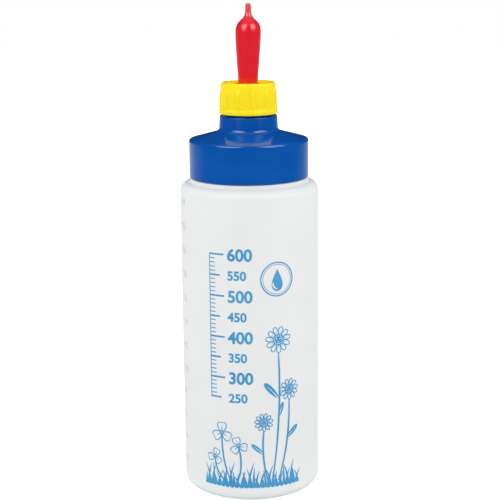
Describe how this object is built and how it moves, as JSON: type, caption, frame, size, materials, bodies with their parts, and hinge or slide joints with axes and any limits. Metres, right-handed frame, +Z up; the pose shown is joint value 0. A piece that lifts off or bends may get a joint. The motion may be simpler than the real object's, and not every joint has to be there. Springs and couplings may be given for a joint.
{
  "type": "lamb feeding bottle",
  "caption": "Hand-held milk bottle for lambs: frosted squeeze bottle, wide screw cap with a threaded spout, and a rubber teat under a ribbed clamp cap with a ball air valve.",
  "frame": {"origin": "middle of the bottle's foot, on the surface that it stands on", "axes": "+Z up along the axis of the bottle and its caps; -Y is the side that faces the camera; -X is the side of the air valve"},
  "size_m": [0.0772, 0.0772, 0.2724],
  "materials": {
    "frosted_plastic": "frosted, translucent polyethylene",
    "white_foam": "matt white foam",
    "blue_plastic": "smooth moulded polypropylene",
    "red_rubber": "smooth soft rubber",
    "yellow_plastic": "smooth moulded polypropylene",
    "steel": "polished steel ball"
  },
  "bodies": {
    "bottle": {"bottle": "frosted_plastic"},
    "bottle_gasket": {"bottle_gasket": "white_foam"},
    "screw_cap": {"screw_cap": "blue_plastic"},
    "teat": {"teat": "red_rubber"},
    "teat_cap": {"teat_cap": "yellow_plastic"},
    "vent_ball": {"vent_ball": "steel"}
  },
  "joints": [
    {"name": "screw_cap_lift", "type": "slide", "parent": "bottle", "child": "bottle_gasket", "axis": [0, 0, 1], "range_m": [0, 0.0212]},
    {"name": "screw_cap_turn", "type": "hinge", "parent": "bottle_gasket", "child": "screw_cap", "pos_m": [0, 0, 0.1966], "axis": [0, 0, 1], "range_deg": [0, 1800]},
    {"name": "teat_cap_lift", "type": "slide", "parent": "screw_cap", "child": "teat", "axis": [0, 0, 1], "range_m": [0, 0.0128]},
    {"name": "teat_cap_turn", "type": "hinge", "parent": "teat", "child": "teat_cap", "pos_m": [0, 0, 0.2251], "axis": [0, 0, 1], "range_deg": [0, 1440]},
    {"name": "vent_ball_lift", "type": "slide", "parent": "teat_cap", "child": "vent_ball", "axis": [0, 0, 1], "range_m": [0, 0.001]}
  ],
  "couplings": [
    {"joint": "screw_cap_lift", "follows": "screw_cap_turn", "m_per_rad": 0.00067323},
    {"joint": "teat_cap_lift", "follows": "teat_cap_turn", "m_per_rad": 0.00050611}
  ]
}
